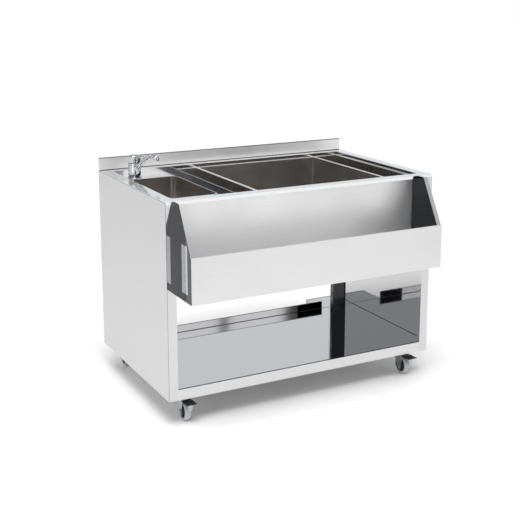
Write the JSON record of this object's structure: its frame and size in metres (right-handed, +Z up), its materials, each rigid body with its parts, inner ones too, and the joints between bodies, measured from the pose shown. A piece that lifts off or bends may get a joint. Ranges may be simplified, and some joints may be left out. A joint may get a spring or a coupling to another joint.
{
  "type": "bar sink with ice bin",
  "caption": "Stainless cocktail station on castors with a small sink and lever tap, insulated ice well, bottle wells, front bottle trough and open lower shelf.",
  "frame": {"origin": "on the floor below the middle of the cabinet and its bottle trough", "axes": "+X to the right seen from the front, -Y towards the front and the bottle trough, +Z up"},
  "size_m": [1.2, 0.878, 0.982],
  "materials": {
    "satin_side": "fine satin brushed stainless steel",
    "bright_steel": "bright stainless steel, near mirror",
    "mirror_steel": "bright annealed stainless steel",
    "shelf_steel": "smooth stainless sheet",
    "bowl_steel": "pressed satin stainless steel",
    "chrome": "polished chrome plate",
    "zinc": "bright zinc plated pressed steel",
    "brass": "plain brass",
    "foam": "rigid foam",
    "grey_plastic": "moulded plastic",
    "dark_plastic": "moulded plastic",
    "grey_tyre": "light grey non-marking rubber",
    "hub_plastic": "moulded grey plastic",
    "black_plastic": "black moulded plastic"
  },
  "bodies": {
    "cabinet": {"back_nuts": "grey_plastic", "back_rail": "shelf_steel", "backsplash": "bright_steel", "base_channel_left": "shelf_steel", "base_channel_right": "shelf_steel", "bottle_well_left": "bowl_steel", "bottle_well_right": "bowl_steel", "bottom_shelf": "shelf_steel", "castor_bolts": "zinc", "castor_kingpins": "zinc", "castor_plates": "zinc", "centre_post": "mirror_steel", "divider": "bright_steel", "end_plate_left": "mirror_steel", "end_plate_right": "mirror_steel", "front_panel": "mirror_steel", "ice_drain": "chrome", "ice_insulation": "foam", "ice_jacket": "shelf_steel", "ice_liner": "bowl_steel", "rear_shelf": "shelf_steel", "side_left": "satin_side", "side_right": "satin_side", "sink_bowl": "bowl_steel", "sink_trap": "grey_plastic", "sink_waste": "chrome", "tap_base": "chrome", "tap_housing": "chrome", "tap_tails": "brass", "trough": "bright_steel", "worktop": "bright_steel"},
    "spout": {"tap_spout": "chrome", "tap_aerator": "chrome"},
    "lever_turner": {"tap_turner": "dark_plastic", "tap_pivot": "chrome"},
    "lever": {"tap_lever": "chrome"},
    "strainer": {"sink_strainer": "chrome"},
    "ice_grid": {"false_bottom": "bowl_steel"},
    "pedal_front_left": {"pedal_front_left": "black_plastic", "tongue_front_left": "zinc"},
    "fork_front_left": {"fork_front_left": "zinc", "axle_front_left": "zinc", "pedal_pin_front_left": "zinc"},
    "wheel_front_left": {"hub_front_left": "hub_plastic", "tyre_front_left": "grey_tyre"},
    "pedal_front_right": {"pedal_front_right": "black_plastic", "tongue_front_right": "zinc"},
    "fork_front_right": {"fork_front_right": "zinc", "axle_front_right": "zinc", "pedal_pin_front_right": "zinc"},
    "wheel_front_right": {"hub_front_right": "hub_plastic", "tyre_front_right": "grey_tyre"},
    "fork_rear_left": {"fork_rear_left": "zinc", "axle_rear_left": "zinc"},
    "wheel_rear_left": {"hub_rear_left": "hub_plastic", "tyre_rear_left": "grey_tyre"},
    "fork_rear_right": {"fork_rear_right": "zinc", "axle_rear_right": "zinc"},
    "wheel_rear_right": {"hub_rear_right": "hub_plastic", "tyre_rear_right": "grey_tyre"}
  },
  "joints": [
    {"name": "spout_swivel", "type": "hinge", "parent": "cabinet", "child": "spout", "pos_m": [-0.498, 0.276, 0.894], "axis": [0, 0, 1], "range_deg": [-60, 60]},
    {"name": "lever_turn", "type": "hinge", "parent": "cabinet", "child": "lever_turner", "pos_m": [-0.498, 0.276, 0.9385], "axis": [0, 0, 1], "range_deg": [-40, 40]},
    {"name": "lever_lift", "type": "hinge", "parent": "lever_turner", "child": "lever", "pos_m": [-0.498, 0.276, 0.9385], "axis": [-0.9613, -0.2756, 0], "range_deg": [0, 20]},
    {"name": "strainer_lift", "type": "slide", "parent": "cabinet", "child": "strainer", "axis": [0, 0, 1], "range_m": [0, 0.25]},
    {"name": "ice_grid_lift", "type": "slide", "parent": "cabinet", "child": "ice_grid", "axis": [0, 0, 1], "range_m": [0, 0.35]},
    {"name": "castor_swivel_front_left", "type": "hinge", "parent": "cabinet", "child": "fork_front_left", "pos_m": [-0.515, -0.219, 0.095], "axis": [0, 0, 1], "continuous": true},
    {"name": "wheel_spin_front_left", "type": "hinge", "parent": "fork_front_left", "child": "wheel_front_left", "pos_m": [-0.515, -0.247, 0.04], "axis": [1, 0, 0], "continuous": true},
    {"name": "brake_pedal_front_left", "type": "hinge", "parent": "fork_front_left", "child": "pedal_front_left", "pos_m": [-0.515, -0.255, 0.084], "axis": [1, 0, 0], "range_deg": [0, 8]},
    {"name": "castor_swivel_front_right", "type": "hinge", "parent": "cabinet", "child": "fork_front_right", "pos_m": [0.515, -0.219, 0.095], "axis": [0, 0, 1], "continuous": true},
    {"name": "wheel_spin_front_right", "type": "hinge", "parent": "fork_front_right", "child": "wheel_front_right", "pos_m": [0.515, -0.247, 0.04], "axis": [1, 0, 0], "continuous": true},
    {"name": "brake_pedal_front_right", "type": "hinge", "parent": "fork_front_right", "child": "pedal_front_right", "pos_m": [0.515, -0.255, 0.084], "axis": [1, 0, 0], "range_deg": [0, 8]},
    {"name": "castor_swivel_rear_left", "type": "hinge", "parent": "cabinet", "child": "fork_rear_left", "pos_m": [-0.515, 0.371, 0.095], "axis": [0, 0, 1], "continuous": true},
    {"name": "wheel_spin_rear_left", "type": "hinge", "parent": "fork_rear_left", "child": "wheel_rear_left", "pos_m": [-0.515, 0.399, 0.04], "axis": [1, 0, 0], "continuous": true},
    {"name": "castor_swivel_rear_right", "type": "hinge", "parent": "cabinet", "child": "fork_rear_right", "pos_m": [0.515, 0.371, 0.095], "axis": [0, 0, 1], "continuous": true},
    {"name": "wheel_spin_rear_right", "type": "hinge", "parent": "fork_rear_right", "child": "wheel_rear_right", "pos_m": [0.515, 0.399, 0.04], "axis": [1, 0, 0], "continuous": true}
  ]
}
